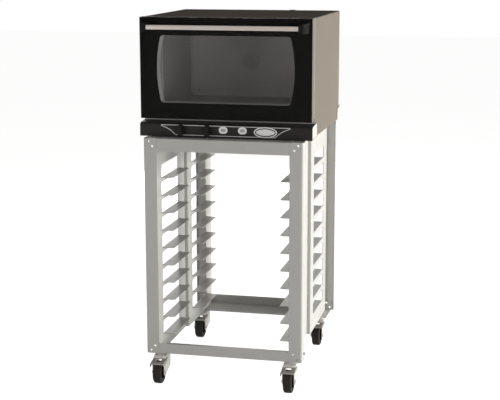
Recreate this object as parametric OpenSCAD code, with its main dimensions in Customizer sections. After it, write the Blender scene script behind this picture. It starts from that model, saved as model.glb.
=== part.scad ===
// Half-size convection oven with a drop-down glass door, on a rolling tray
// stand whose runners are punched and folded out of its two side frames.
// Millimetres. X is to the right, Y away from the viewer and Z up. The floor
// is Z = 0, and the origin lies under the middle of the overall outline.

/* [Oven cabinet] */
// Width of the cabinet and of the door
oven_w = 600; // [580:1:630]
// Depth from the front of the door to the back of the cabinet
oven_d = 570; // [555:1:600]
// Height from the underside to the roof
oven_h = 404; // [400:1:430]
// Sheet of the cabinet, door and housings
skin_t = 1.5; // [1.2:0.1:2]
// Outside radius of the roof's side bends
roof_r = 5; // [4:0.5:9]
// Height of the rubber feet
foot_h = 6; // [4:0.5:10]
// Radius of the rubber feet
foot_r = 16; // [12:1:18]

/* [Cavity] */
// Clear width of the cavity
cavity_w = 464; // [440:1:480]
// Clear height of the cavity
cavity_h = 262; // [250:1:270]
// Depth of the cavity
cavity_d = 400; // [380:1:405]
// Roof to the ceiling of the cavity
cavity_drop = 48; // [44:1:54]
// Radius of the cavity's corners
cavity_r = 14; // [8:1:20]
// Thickness of the insulation blanket
blanket_t = 25; // [15:1:28]

/* [Fan and heater] */
// Radius of the fan wheel
fan_r = 88; // [70:1:95]
// Depth of the fan wheel
fan_depth = 30; // [20:1:32]
// Blades of the fan wheel
fan_n = 12; // [8:1:16]
// Radius of the motor's shaft
shaft_r = 5; // [4:0.5:7]
// Radius of the motor
motor_r = 52; // [40:1:60]
// Radius of the heating ring
heater_r = 106; // [100:1:112]
// Radius of the heating tube
heater_tube = 4; // [3:0.5:5]
// Cavity back to the air baffle
baffle_gap = 46; // [44:1:60]

/* [Door] */
// Height of the door
door_h = 347; // [343:1:355]
// Thickness of the door
door_t = 48; // [42:1:52]
// Gap between door and cabinet, filled by the gasket
door_gap = 2; // [1.8:0.1:4]
// Outer and inner panes
glass_t = 4; // [3:0.5:5]
// Black printed border behind the outer pane
mask_t = 0.6; // [0.4:0.1:1]
// How far the window reaches past each side of the cavity
window_over = 8; // [0:0.5:12]
// How far the window's sides bow out
window_bow = 14; // [6:1:20]
// Height of the window
window_h = 230; // [200:1:240]
// Top of the door to the top of the window
window_drop = 61; // [56:1:70]
// Corner radius of the window
window_r = 13; // [8:1:20]
// Hinge line behind the face of the door
hinge_in = 20; // [19:0.5:21]
// Hinge line above the lower edge of the door
hinge_up = 14; // [13:0.5:15]
// Radius of the hinge pins
pin_r = 4; // [3:0.1:5]
// Side of the cabinet to the hinge ears
ear_inset = 35; // [28:1:45]
// Thickness of the hinge ears
ear_t = 6; // [4:0.5:8]

/* [Handle] */
// Radius of the handle bar
bar_r = 7.5; // [6:0.5:8.5]
// Glass to the axis of the bar
bar_out = 42; // [36:1:50]
// Top of the door to the axis of the bar
bar_drop = 31.5; // [28:0.5:40]
// Width over both handle brackets
handle_w = 580; // [550:1:590]
// Width of a handle bracket
bracket_w = 30; // [26:1:36]
// Height of a handle bracket
bracket_h = 34; // [30:1:40]

/* [Control panel] */
// Height of the control housing
control_h = 47; // [45:0.5:48]
// Depth of the control housing
control_d = 85; // [80:1:100]
// Radius of the housing's upper front edge
control_r = 13; // [10:1:15]
// How far the front of the fascia hangs below the underside
fascia_drop = 4; // [2:0.5:5]
// Wall of the black fascia
fascia_t = 1.5; // [1.2:0.1:2.5]
// Height of the row of controls above the underside
row_up = 21; // [20.8:0.1:22]
// Place of the first knob from the middle
knob_x = -156; // [-165:1:-150]
// Spacing of the two knobs
knob_pitch = 94; // [80:1:98]
// Length of a knob's grip
knob_h = 41; // [36:1:41]
// Width of a knob's grip
knob_w = 19; // [14:1:21]
// How far a knob stands out
knob_out = 21; // [16:1:26]
// Radius of the knob spindles
spindle_r = 3; // [2.5:0.5:4]
// Place of the first button from the middle
button_x = -6.5; // [-10:0.5:0]
// Spacing of the two buttons
button_pitch = 67.5; // [60:0.5:70]
// Width of a button's cap
button_w = 16; // [12:1:18]
// Height of a button's cap
button_h = 9.5; // [8:0.5:11]
// Travel of a button
button_travel = 2; // [1:0.5:2.5]
// Width of the plain oval plate
oval_w = 81; // [72:1:84]
// Height of the plain oval plate
oval_h = 37; // [32:0.5:38]
// Place of the oval plate from the middle
oval_x = 141; // [136:1:150]
// Line of the raised silver outline
trim_w = 2.2; // [1.5:0.1:3]
// Length of the outline's upper line
trim_top = 455; // [445:1:470]
// Length of the outline's lower line
trim_low = 352; // [340:1:360]
// Height over the outline's two lines
trim_h = 35.5; // [32:0.5:36]

/* [Service box] */
// Depth of the service box at the back
service_d = 70; // [66:1:80]
// How far it stands behind the cabinet
service_out = 28; // [10:1:34]

/* [Stand] */
// Width over the legs
stand_w = 559; // [550:1:590]
// Depth over the legs
stand_d = 688; // [670:1:720]
// Height of the legs
stand_h = 768; // [760:1:800]
// Sheet of the stand
sheet_t = 2; // [1.5:0.1:2.5]
// Inside radius of the folds
fold_r = 1; // [0.8:0.1:1.5]
// Clear width between the side frames
bay_w = 464; // [460:1:466]
// Sideways step of each side frame at half its depth
joggle = 12; // [10:0.5:14]
// Depth of the front lips
lip_front = 48; // [20:1:50]
// Depth of the rear lips
lip_rear = 10; // [6:1:20]
// Face of the stand to the front of the door
door_setback = 41; // [30:1:45]
// Diameter of the open fixing holes
fix_d = 8; // [5:0.5:9]

/* [Tray runners] */
// Runner levels
runner_n = 10; // [6:1:10]
// Spacing of the levels
runner_pitch = 62.7; // [60:0.1:64]
// Foot of the leg to the lowest runner
runner_low = 60; // [56:1:66]
// Length of a runner along the tray
runner_l = 206; // [160:1:230]
// Reach of a runner under the tray
runner_reach = 43; // [30:1:43]
// Start of a runner behind the front of its half
runner_in = 53; // [30:1:70]
// Height of the window above its runner
punch_h = 44.7; // [40:0.1:46]
// Corner radius of window and runner
punch_r = 9; // [5:0.5:12]

/* [Rails] */
// Height of the upper rails
rail_top_h = 44; // [40:1:50]
// Height of the lower rails
rail_low_h = 36; // [34:1:42]
// Depth of the rails' flanges
rail_d = 122; // [118:1:135]
// Side of the leg to the end of a rail
rail_end = 11.5; // [10:0.5:14]

/* [Casters] */
// Floor to the foot of the legs
caster_h = 108; // [106:1:115]
// Radius of the wheels
wheel_r = 40; // [36:0.5:41]
// Width of the tyres
tyre_w = 30; // [24:1:32]
// Clear width inside a fork
fork_in = 39; // [37:0.5:44]
// Thickness of a fork's legs
fork_t = 2.5; // [2:0.1:3]
// Swivel axis to the axle
trail = 32; // [30:1:34]
// Radius of the swivel stems
stem_r = 6; // [5:0.5:7]
// Radius of the axles
axle_r = 4; // [3:0.5:5]
// Middle of the stand to the casters
caster_x = 234; // [230:1:240]
// Front of the legs to the front casters
caster_in = 31; // [28:1:36]
// Back of the legs to the rear casters
caster_back = 94; // [88:1:98]
// Reach of a brake pedal in front of the swivel axis
pedal_reach = 60; // [58:1:64]

/* [Hidden] */
$fn = 64;
e = 0.02;
air = 0.4;
fit = 0.05;

leg_y0 = -(stand_d + caster_in - trail - wheel_r) / 2;
leg_y1 = leg_y0 + stand_d;
leg_ym = (leg_y0 + leg_y1) / 2;
leg_z0 = caster_h;
leg_z1 = leg_z0 + stand_h;
half_w = stand_w / 2;
bend = fold_r + sheet_t / 2;

oven_z0 = leg_z1 + foot_h;
oven_z1 = oven_z0 + oven_h;
door_y = leg_y0 + door_setback;
cab_y0 = door_y + door_t + door_gap;
cab_y1 = door_y + oven_d;
half_o = oven_w / 2;
half_p = half_o + 3;
door_z0 = oven_z1 - door_h;
hinge_y = door_y + hinge_in;
hinge_z = door_z0 + hinge_up;
ear_x = half_o - ear_inset;

cav_z1 = oven_z1 - cavity_drop;
cav_z0 = cav_z1 - cavity_h;
cav_zm = (cav_z0 + cav_z1) / 2;
cav_y0 = cab_y0 + skin_t;
cav_y1 = cav_y0 + cavity_d;
baffle_y = cav_y1 - baffle_gap;

slope_y = 60;
slope_dz = 5.1;
row_z = oven_z0 + row_up;
window_w = cavity_w + 2 * window_over;
panel_mid = row_z - 1.2;
trim_zt = panel_mid + trim_h / 2;
trim_zb = trim_zt - trim_h;
service_y = cab_y1 + service_out - service_d;

// Smaller sizes that follow from the choices above
foot_x = (bay_w / 2 + sheet_t + 42 + bay_w / 2) / 2;
seat_x = half_w - 3.5;
lip_r = 8;
top_in = 16;
fix_x = 17.5;
fix_dx = 13.5;
fix_z = 10.5;
fix_dz = 17;
ear_h = 9;
ear_back = 20;
pin_l = 30;
heel = 9;
panel_t = 2;
reveal_d = door_t - panel_t - glass_t;
baffle_side = 12;
motor_y = cav_y1 + skin_t + blanket_t;
motor_l = 50;
motor_cap = 8;
motor_ring = 14;
heater_leg = 22;
tail_l = 8;
unit_neck = 12;
unit_d = 32;
unit_w = 38;
unit_h = 34;
button_unit_d = 26;
heater_y = baffle_y + skin_t + 5 + fan_depth / 2;
heater_z = sqrt(heater_r * heater_r - heater_leg * heater_leg);
vent_r = 11.5;
vent_x = 124.5;
inlay = 1;
horn_r = 101;
tip_r = 2.8;
oval_r = 10;
button_up = 2.3;
bezel_w = 31;
bezel_h = 23.6;
spindle_in = 20;
cheek_screw_y = control_d / 2;
inlet_x = 100 - half_o;
inlet_r = 11;
bar_in = 12;
bracket_r = 7;
bracket_in = 10;
pedal_lip = 5;
cup_r = 22.5;
crown_z1 = leg_z0 - 10;
crown_z0 = crown_z1 - 5.5;
leg_nose = 12;
leg_step = wheel_r + 34;
leg_back = 34;
shoulder = 7;
rim_r = 27;
pedal_t = 1.5;
pedal_ear = 6.5;
pedal_a = 11.9;
pedal_z0 = crown_z0 - 5.5;
rivet_r = 3;
rivet_y = -cup_r + 9;
rivet_z = pedal_z0 - 4;
slot_w = 22;
slot_l = 20;
slot_x = -2;

// Parts drawn in a plan are stood up with these two
module along_x(x0, x1) {
    translate([x0, 0, 0])
        rotate([90, 0, 90])
            linear_extrude(x1 - x0)
                children();
}

module along_y(y0, y1) {
    translate([0, y1, 0])
        rotate([90, 0, 0])
            linear_extrude(y1 - y0)
                children();
}

module bar_x(y, z, x0, x1, r) {
    translate([x0, y, z])
        rotate([0, 90, 0])
            cylinder(h = x1 - x0, r = r);
}

module bar_y(x, z, y0, y1, r) {
    translate([x, y0, z])
        rotate([-90, 0, 0])
            cylinder(h = y1 - y0, r = r);
}

module block(x0, x1, y0, y1, z0, z1) {
    translate([x0, y0, z0])
        cube([x1 - x0, y1 - y0, z1 - z0]);
}

module round_rect(w, h, r) {
    square([w - 2 * r, h], center = true);
    square([w, h - 2 * r], center = true);
    for (x = [-1, 1])
        for (y = [-1, 1])
            translate([x * (w / 2 - r), y * (h / 2 - r)])
                circle(r);
}

module stadium(w, h) {
    d = min(w, h);
    l = max(w, h) - d;
    rotate(w > h ? 0 : 90) {
        square([l, d], center = true);
        for (s = [-1, 1])
            translate([s * l / 2, 0])
                circle(d / 2);
    }
}

// A sheet of thickness t bent along the points p, with radius r[i] at its
// middle at each square corner
module sheet_path(p, r, t) {
    n = len(p);
    for (i = [0:n - 2]) {
        u = (p[i + 1] - p[i]) / norm(p[i + 1] - p[i]);
        a = p[i] + u * (i == 0 ? 0 : r[i]);
        b = p[i + 1] - u * (i == n - 2 ? 0 : r[i + 1]);
        translate(a)
            rotate(atan2(u[1], u[0]))
                translate([0, -t / 2])
                    square([norm(b - a), t]);
    }
    for (i = [1:n - 2]) {
        u = (p[i] - p[i - 1]) / norm(p[i] - p[i - 1]);
        v = (p[i + 1] - p[i]) / norm(p[i + 1] - p[i]);
        k = r[i] + t;
        translate(p[i] - u * r[i] + v * r[i])
            intersection() {
                difference() {
                    circle(r[i] + t / 2);
                    circle(r[i] - t / 2);
                }
                polygon([[0, 0], k * u, k * (u - v), -k * v]);
            }
    }
}

// Side view of the control housing, y to the back and z up, drawn t inside
module control_profile(t, d) {
    a = atan2(slope_dz, slope_y);
    r = control_r - t;
    zc = control_h - (slope_y - control_r) * tan(a) - control_r / cos(a);
    m = slope_y + t * tan(a / 2);
    n = 24;
    polygon(concat([[d, 0], [t, 0]],
        [for (i = [0:n]) [control_r, zc] + r * [-cos(i * (90 - a) / n),
            sin(i * (90 - a) / n)]],
        [[m, control_h - t], [d, control_h - t]]));
}

module at_control() {
    translate([0, door_y, oven_z0])
        children();
}

module at_service() {
    translate([0, service_y, oven_z0])
        children();
}

// Window of the door, g larger all round, with bowed sides that run into
// round corners
module window_shape(g) {
    r = window_r + g;
    h = window_h / 2 + g;
    b = (window_h * window_h / 4 + window_bow * window_bow)
        / (2 * window_bow) + g;
    c = window_w / 2 + g - b;
    cx = c + sqrt((b - r) * (b - r) - (h - r) * (h - r));
    translate([0, -window_drop - window_h / 2]) {
        intersection() {
            translate([c, 0])
                circle(b, $fn = 180);
            translate([-c, 0])
                circle(b, $fn = 180);
            square([window_w + 2 * g + 2, 2 * (h - r) * b / (b - r)],
                center = true);
        }
        square([2 * cx, 2 * h], center = true);
        for (x = [-cx, cx])
            for (z = [r - h, h - r])
                translate([x, z])
                    circle(r);
    }
}

module at_door() {
    translate([0, door_y, oven_z1])
        children();
}

module door_plate(y0, y1, inset) {
    block(-half_o + inset, half_o - inset, door_y + y0, door_y + y1,
        door_z0 + inset, oven_z1 - inset);
}

module cabinet_shell() {
    r = roof_r - skin_t / 2;
    w = half_o - skin_t / 2;
    color("silver")
        difference() {
            along_y(cab_y0, cab_y1)
                sheet_path([[-w, oven_z0], [-w, oven_z1 - skin_t / 2],
                    [w, oven_z1 - skin_t / 2], [w, oven_z0]],
                    [r, r, r, r], skin_t);
            at_control()
                along_x(-half_p, half_p)
                    control_profile(0, control_d);
            at_service()
                along_x(-half_p, half_p)
                    control_profile(0, service_d + 1);
            steam_pipe(vent_r, false);
        }
}

module cabinet_back() {
    w = half_o - skin_t;
    z0 = oven_z0 + control_h;
    color("gainsboro")
        difference() {
            block(-w, w, cab_y1 - skin_t, cab_y1, z0, oven_z1 - skin_t);
            for (x = [-7:7])
                for (z = [-45, -75])
                    translate([x * 26, 0, oven_z1 + z])
                        along_y(cab_y1 - 2 * skin_t, cab_y1 + 1)
                            stadium(5, 22);
            for (x = [-1, 1])
                for (z = [z0 + 15, oven_z1 - 15])
                    bar_y(x * (w - 15), z, cab_y1 - 2 * skin_t, cab_y1 + 1,
                        2.5);
        }
}

module cabinet_base() {
    w = half_o - skin_t;
    color("silver")
        difference() {
            block(-w, w, door_y + control_d, service_y, oven_z0,
                oven_z0 + skin_t);
            for (x = [-8:8])
                for (y = [-1:1])
                    translate([x * 24, y * 60, oven_z0 - 1])
                        linear_extrude(2 * skin_t + 1)
                            stadium(5, 34);
        }
}

module front_frame() {
    w = half_o - skin_t;
    color("dimgray")
        difference() {
            block(-w, w, cab_y0, cab_y0 + skin_t, oven_z0 + control_h,
                oven_z1 - skin_t);
            translate([0, 0, cav_zm])
                along_y(cab_y0 - 1, cab_y0 + skin_t + 1)
                    round_rect(cavity_w, cavity_h, cavity_r);
            for (s = [-1, 1])
                block(s * ear_x - ear_t / 2, s * ear_x + ear_t / 2,
                    cab_y0 - 1, cab_y0 + skin_t + 1, hinge_z - ear_h,
                    hinge_z + ear_h);
        }
}

module cavity_liner() {
    color("dimgray")
        difference() {
            translate([0, 0, cav_zm])
                along_y(cav_y0, cav_y1 + skin_t)
                    round_rect(cavity_w + 2 * skin_t, cavity_h + 2 * skin_t,
                        cavity_r + skin_t);
            translate([0, 0, cav_zm])
                along_y(cav_y0 - 1, cav_y1)
                    round_rect(cavity_w, cavity_h, cavity_r);
            bar_y(0, cav_zm, cav_y1 - 1, cav_y1 + skin_t + 1, shaft_r + 2);
            heater_ends(0);
            steam_pipe(vent_r, false);
        }
}

module insulation() {
    g = skin_t;
    color("khaki")
        difference() {
            translate([0, 0, cav_zm])
                along_y(cav_y0, cav_y1 + skin_t + blanket_t)
                    round_rect(cavity_w + 2 * (g + blanket_t),
                        cavity_h + 2 * (g + blanket_t), cavity_r + blanket_t);
            translate([0, 0, cav_zm])
                along_y(cav_y0 - 1, cav_y1 + skin_t)
                    round_rect(cavity_w + 2 * g, cavity_h + 2 * g,
                        cavity_r + g);
            bar_y(0, cav_zm, cav_y1, cav_y1 + blanket_t + 5, shaft_r + 6);
            heater_ends(0);
            steam_pipe(vent_r, false);
            for (s = [-1, 1])
                block(s * ear_x - ear_t / 2 - 1, s * ear_x + ear_t / 2 + 1,
                    cav_y0 - 1, cav_y0 + ear_back + 1, hinge_z - ear_h - 1,
                    hinge_z + ear_h + 1);
        }
}

module air_baffle() {
    color("slategray")
        difference() {
            translate([0, 0, cav_zm])
                union() {
                    along_y(baffle_y, baffle_y + skin_t)
                        round_rect(cavity_w - 2 * baffle_side, cavity_h, 4);
                    for (s = [-1, 1])
                        block(s * (cavity_w / 2 - baffle_side - 1) - 1,
                            s * (cavity_w / 2 - baffle_side - 1) + 1,
                            baffle_y, cav_y1, -30, 30);
                }
            for (k = [1:3])
                for (i = [0:6 * k - 1])
                    bar_y(k * 9 * cos(60 * i / k), cav_zm
                        + k * 9 * sin(60 * i / k), baffle_y - 1,
                        baffle_y + skin_t + 1, 2.5);
            bar_y(0, cav_zm, baffle_y - 1, baffle_y + skin_t + 1, 2.5);
        }
}

// Back plate, hub and shaft with blades between plate and rim
module fan_wheel() {
    y0 = baffle_y + skin_t + 5;
    y1 = y0 + fan_depth;
    color("lightgray") {
        bar_y(0, cav_zm, y1 - 1.5, y1, fan_r);
        bar_y(0, cav_zm, y0 + 6, y1, 14);
        bar_y(0, cav_zm, y0 + 6, motor_y + motor_l - 5, shaft_r);
        translate([0, 0, cav_zm])
            along_y(y0, y0 + 2)
                difference() {
                    circle(fan_r);
                    circle(fan_r - 24);
                }
        for (i = [0:fan_n - 1])
            translate([0, 0, cav_zm])
                rotate([0, i * 360 / fan_n, 0])
                    translate([fan_r - 22, 0, 0])
                        rotate([0, 25, 0])
                            block(-1, 21, y0 + 1, y1 - 1, -0.75, 0.75);
    }
}

module fan_motor() {
    color("darkgray")
        difference() {
            union() {
                bar_y(0, cav_zm, motor_y, motor_y + 6, motor_r + motor_ring);
                bar_y(0, cav_zm, motor_y + 6, motor_y + motor_l, motor_r);
                bar_y(0, cav_zm, motor_y + motor_l, motor_y + motor_l
                    + motor_cap, motor_r - motor_ring);
                for (i = [0:23])
                    translate([0, 0, cav_zm])
                        rotate([0, i * 15, 0])
                            block(motor_r - 1, motor_r + 4, motor_y + 10,
                                motor_y + motor_l - 4, -1, 1);
            }
            bar_y(0, cav_zm, motor_y - 1, motor_y + motor_l - 3,
                shaft_r + fit);
        }
}

// The two ends of the heating ring, through the back of the cavity
module heater_ends(g) {
    for (s = [-1, 1])
        bar_y(s * heater_leg, cav_zm + heater_z, heater_y, cav_y1 + skin_t
            + blanket_t + tail_l, heater_tube + g);
}

module heating_element() {
    a = asin(heater_leg / heater_r);
    color("saddlebrown") {
        translate([0, heater_y, cav_zm])
            rotate([90, 0, 0])
                rotate([0, 0, 90 + a])
                    rotate_extrude(angle = 360 - 2 * a)
                        translate([heater_r, 0])
                            circle(heater_tube);
        for (s = [-1, 1])
            translate([s * heater_leg, heater_y, cav_zm + heater_z])
                sphere(heater_tube + 0.4);
        heater_ends(0);
    }
}

module door_gasket() {
    color("black")
        translate([0, 0, cav_zm])
            along_y(cab_y0 - door_gap + air, cab_y0)
                difference() {
                    round_rect(cavity_w + 24, cavity_h + 24, cavity_r + 12);
                    round_rect(cavity_w + 6, cavity_h + 6, cavity_r + 3);
                }
}

// Pipe from the back of the cavity up through the roof
module steam_pipe(r, cap) {
    x = vent_x;
    y = cab_y1 - skin_t - 1 - vent_r;
    z = cav_z1 - 25;
    bar_y(x, z, cav_y1 - 1, y, r);
    translate([x, y, z])
        sphere(r);
    translate([x, y, z])
        cylinder(h = oven_z1 - z + (cap ? 2 : 1), r = r);
}

module steam_vent() {
    color("gray")
        difference() {
            steam_pipe(vent_r, true);
            steam_pipe(vent_r - 1.5, true);
            block(vent_x - 20, vent_x + 20, cav_y1 - 2, cav_y1,
                cav_z1 - 50, cav_z1);
            translate([vent_x, cab_y1 - skin_t - 1 - vent_r, cav_z1 - 25])
                cylinder(h = 200, r = vent_r - 1.5);
        }
}

module oven_feet() {
    color("black")
        for (x = [-1, 1])
            for (y = [door_y + control_d - 2 * foot_r, service_y - foot_r])
                translate([x * foot_x, y, leg_z1])
                    cylinder(h = foot_h, r = foot_r);
}

module control_fascia() {
    color("black")
        difference() {
            union() {
                at_control()
                    along_x(-half_p, half_p)
                        difference() {
                            control_profile(0, control_d);
                            control_profile(fascia_t, control_d + 1);
                            translate([fascia_t, -1])
                                square([control_d, 2]);
                        }
                block(-half_p, half_p, door_y, door_y + control_d, oven_z0,
                    oven_z0 + skin_t);
                block(-half_p, half_p, door_y, door_y + fascia_t,
                    oven_z0 - fascia_drop, oven_z0 + skin_t);
            }
            for (i = [0, 1])
                bar_y(knob_x + i * knob_pitch, row_z, door_y - 1,
                    door_y + fascia_t + 1, spindle_r + 1);
            for (i = [0, 1])
                translate([button_x + i * button_pitch, 0, row_z + button_up])
                    along_y(door_y - 1, door_y + 2 * fascia_t + 2)
                        stadium(button_w + 6, button_h + 8);
            difference() {
                union() {
                    along_y(door_y - 1, door_y + control_r)
                        trim_shape();
                    along_y(door_y - 1, door_y + control_r)
                        oval(0);
                }
                behind_face(inlay);
            }
        }
}

// All that lies deeper than t under the face of the fascia
module behind_face(t) {
    at_control()
        along_x(-half_p - 1, half_p + 1)
            difference() {
                control_profile(t, control_d);
                translate([0, -1])
                    square([max(t, e), 2]);
            }
}

module housing_cheeks() {
    color("ivory")
        for (s = [-1, 1]) {
            difference() {
                at_control()
                    along_x(s > 0 ? half_o - 1 : -half_p,
                        s > 0 ? half_p : -half_o + 1)
                        intersection() {
                            control_profile(fascia_t, control_d);
                            translate([0, skin_t])
                                square([control_d, control_h]);
                        }
                bar_x(door_y + cheek_screw_y, row_z - 1, s * half_p - 1,
                    s * half_p + 1, 2.5);
            }
            difference() {
                at_service()
                    along_x(s > 0 ? half_o - 1 : -half_p,
                        s > 0 ? half_p : -half_o + 1)
                        control_profile(0, service_d);
                bar_x(service_y + 26, row_z + 3, s * half_p - 1,
                    s * half_p + 1, 2.5);
            }
        }
}

// Outline with drawn-in ends and round tips, t inside its outer line
module horn(t) {
    x0 = trim_top / 2 - tip_r;
    dx = x0 - trim_low / 2;
    dz = trim_h - 2 * tip_r;
    c = norm([dx, dz]);
    k = sqrt(horn_r * horn_r - c * c / 4);
    cx = trim_low / 2 + dx / 2 + k * dz / c;
    cz = trim_zb + dz / 2 - k * dx / c;
    difference() {
        translate([-x0, trim_zb + t])
            square([2 * x0, trim_h - 2 * t]);
        for (s = [-1, 1])
            translate([s * cx, cz])
                circle(horn_r + t, $fn = 180);
    }
    for (s = [-1, 1])
        translate([s * x0, trim_zt - tip_r])
            circle(tip_r - t);
}

// The silver outline from the front, parted by the oval plate and bezels
module trim_shape() {
    difference() {
        horn(0);
        horn(trim_w);
        oval(0);
        for (i = [0, 1])
            translate([button_x + i * button_pitch, row_z + button_up])
                stadium(bezel_w, bezel_h);
    }
}

// Oval of four arcs, g inside its edge
module oval(g) {
    a = oval_w / 2;
    b = oval_h / 2;
    r = (a * a + b * b - 2 * a * oval_r) / (2 * (b - oval_r));
    t = asin((a - oval_r) / (r - oval_r));
    n = 10;
    q = concat(
        [for (i = [0:n]) [0, b - r] + (r - g) * [sin(t * i / n),
            cos(t * i / n)]],
        [for (i = [1:n]) [a - oval_r, 0] + (oval_r - g)
            * [sin(t + (90 - t) * i / n), cos(t + (90 - t) * i / n)]]);
    m = len(q) - 1;
    translate([oval_x, panel_mid])
        polygon([for (s = [0:3]) for (i = [0:m - 1])
            let (p = q[s % 2 == 0 ? i : m - i])
                [s < 2 ? p[0] : -p[0], s == 0 || s == 3 ? p[1] : -p[1]]]);
}

module panel_trim() {
    color("silver")
        difference() {
            intersection() {
                along_y(door_y - 1, door_y + control_r)
                    trim_shape();
                at_control()
                    along_x(-half_p, half_p)
                        control_profile(-0.5, control_d);
            }
            behind_face(inlay);
        }
}

module oval_plate() {
    color("silver")
        difference() {
            along_y(door_y - 1.6, door_y + control_r)
                oval(0);
            behind_face(inlay);
            along_y(door_y - 2, door_y - 0.8)
                difference() {
                    oval(3);
                    oval(5.5);
                }
        }
}

module control_units() {
    y0 = door_y + fascia_t;
    color("dimgray")
        for (i = [0, 1]) {
            translate([knob_x + i * knob_pitch, 0, row_z])
                difference() {
                    union() {
                        along_y(y0, y0 + unit_neck)
                            circle(spindle_r + 5);
                        translate([0, 0, skin_t + unit_h / 2 - row_up])
                            along_y(y0 + unit_neck, y0 + unit_neck + unit_d)
                                round_rect(unit_w, unit_h, 3);
                    }
                    bar_y(0, 0, y0 - 1, y0 + spindle_in + 1,
                        spindle_r + fit);
                }
            translate([button_x + i * button_pitch, 0, row_z + button_up])
                difference() {
                    along_y(y0 + 3.5, y0 + button_unit_d)
                        round_rect(30, 21, 3);
                    along_y(y0 - 1, y0 + 12)
                        stadium(button_w + 2 * air, button_h + 2 * air);
                }
        }
}

// Round base, bar grip and spindle, centred on the spindle's axis
module knob(x) {
    y0 = door_y - 1;
    color("black")
        translate([x, 0, row_z]) {
            along_y(y0 - 5, y0)
                circle(knob_w - 1);
            along_y(y0 - knob_out + 3, y0 - 4)
                stadium(knob_w, knob_h);
            along_y(y0 - knob_out, y0 - knob_out + 3.1)
                stadium(knob_w - 3, knob_h - 3);
            bar_y(0, 0, y0 - 5, door_y + fascia_t + spindle_in, spindle_r);
        }
}

module knob_timer() {
    knob(knob_x);
}

module knob_temperature() {
    knob(knob_x + knob_pitch);
}

module button_bezels() {
    color("white")
        for (i = [0, 1])
            translate([button_x + i * button_pitch, 0, row_z + button_up])
                difference() {
                    union() {
                        difference() {
                            along_y(door_y - 1.2, door_y + 4)
                                stadium(bezel_w, bezel_h);
                            translate([-button_x - i * button_pitch, 0,
                                -row_z - button_up])
                                behind_face(0);
                        }
                        along_y(door_y - 2, door_y - 1.2)
                            stadium(bezel_w - 3, bezel_h - 3);
                        along_y(door_y - 0.1, door_y + 5)
                            stadium(button_w + 6, button_h + 8);
                    }
                    along_y(door_y - 3, door_y + 6)
                        stadium(button_w + 2 * air, button_h + 2 * air);
                }
}

module button(x) {
    color("gray")
        translate([x, 0, row_z + button_up]) {
            along_y(door_y - 2 - button_travel - 0.5, door_y + 9)
                stadium(button_w, button_h);
        }
}

module button_left() {
    button(button_x);
}

module button_right() {
    button(button_x + button_pitch);
}

module service_box() {
    w = half_o - 1;
    color("silver")
        difference() {
            at_service()
                along_x(-w, w)
                    control_profile(0, service_d);
            at_service()
                along_x(-w + skin_t, w - skin_t)
                    intersection() {
                        control_profile(skin_t, service_d - skin_t);
                        translate([0, skin_t])
                            square([service_d, control_h]);
                    }
            bar_y(inlet_x, row_z, service_y + service_d - 2 * skin_t,
                service_y + service_d + 1, inlet_r);
        }
}

// Edge bush of the empty supply inlet
module inlet_bush() {
    y1 = service_y + service_d;
    color("black")
        translate([inlet_x, 0, row_z])
            difference() {
                union() {
                    along_y(y1 - skin_t - 3, y1 + 1)
                        circle(inlet_r);
                    along_y(y1, y1 + 3)
                        circle(inlet_r + 3);
                }
                along_y(y1 - 10, y1 + 4)
                    circle(inlet_r - 3);
            }
}

// Ears fixed behind the front frame, which carry the door's pins
module hinge_ears() {
    color("silver")
        for (s = [-1, 1])
            difference() {
                along_x(s * ear_x - ear_t / 2, s * ear_x + ear_t / 2)
                    union() {
                        translate([hinge_y, hinge_z])
                            circle(ear_h);
                        translate([hinge_y, hinge_z - ear_h])
                            square([cav_y0 + ear_back - hinge_y, 2 * ear_h]);
                    }
                bar_x(hinge_y, hinge_z, s * ear_x - ear_t,
                    s * ear_x + ear_t, pin_r + fit);
            }
}

module pin_bores(r) {
    for (s = [-1, 1])
        bar_x(hinge_y, hinge_z, s * ear_x - pin_l / 2, s * ear_x + pin_l / 2,
            r);
}

module ear_slots() {
    for (s = [-1, 1])
        block(s * ear_x - ear_t / 2 - 1.5, s * ear_x + ear_t / 2 + 1.5,
            hinge_y - ear_h - 1, door_y + door_t + 1, door_z0 - 1,
            hinge_z + ear_h + 1.5);
}

module heel_cut() {
    c = heel;
    along_x(-half_o - 1, half_o + 1)
        polygon([[door_y + door_t + 1, door_z0 - 1],
            [door_y + door_t + 1, door_z0 + c + 1],
            [door_y + door_t - c - 1, door_z0 - 1]]);
}

// Pan of the door with the lit steel reveal round the window
module door_frame() {
    y0 = glass_t + mask_t;
    y1 = door_t - panel_t;
    color("silver")
        difference() {
            union() {
                difference() {
                    door_plate(y0, y1, 0);
                    door_plate(y0 + skin_t, y1 + 1, skin_t);
                }
                at_door()
                    along_y(y0, reveal_d)
                        window_shape(skin_t);
                for (s = [-1, 1])
                    block(s * ear_x - pin_l / 2 - 2, s * ear_x + pin_l / 2
                        + 2, door_y + y0, door_y + y1, door_z0,
                        hinge_z + ear_h + 4);
            }
            at_door()
                along_y(0, reveal_d + 1)
                    window_shape(0);
            ear_slots();
            heel_cut();
            pin_bores(pin_r);
        }
}

module door_glass_outer() {
    color("darkslategray")
        along_y(door_y, door_y + glass_t)
            translate([0, (door_z0 + oven_z1) / 2])
                round_rect(oven_w, door_h, 3);
}

module door_border() {
    color("black")
        difference() {
            along_y(door_y + glass_t, door_y + glass_t + mask_t)
                translate([0, (door_z0 + oven_z1) / 2])
                    round_rect(oven_w, door_h, 3);
            at_door()
                along_y(0, 20)
                    window_shape(0);
        }
}

module door_glass_inner() {
    color("lightblue")
        at_door()
            along_y(reveal_d, door_t - panel_t)
                window_shape(6);
}

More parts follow.
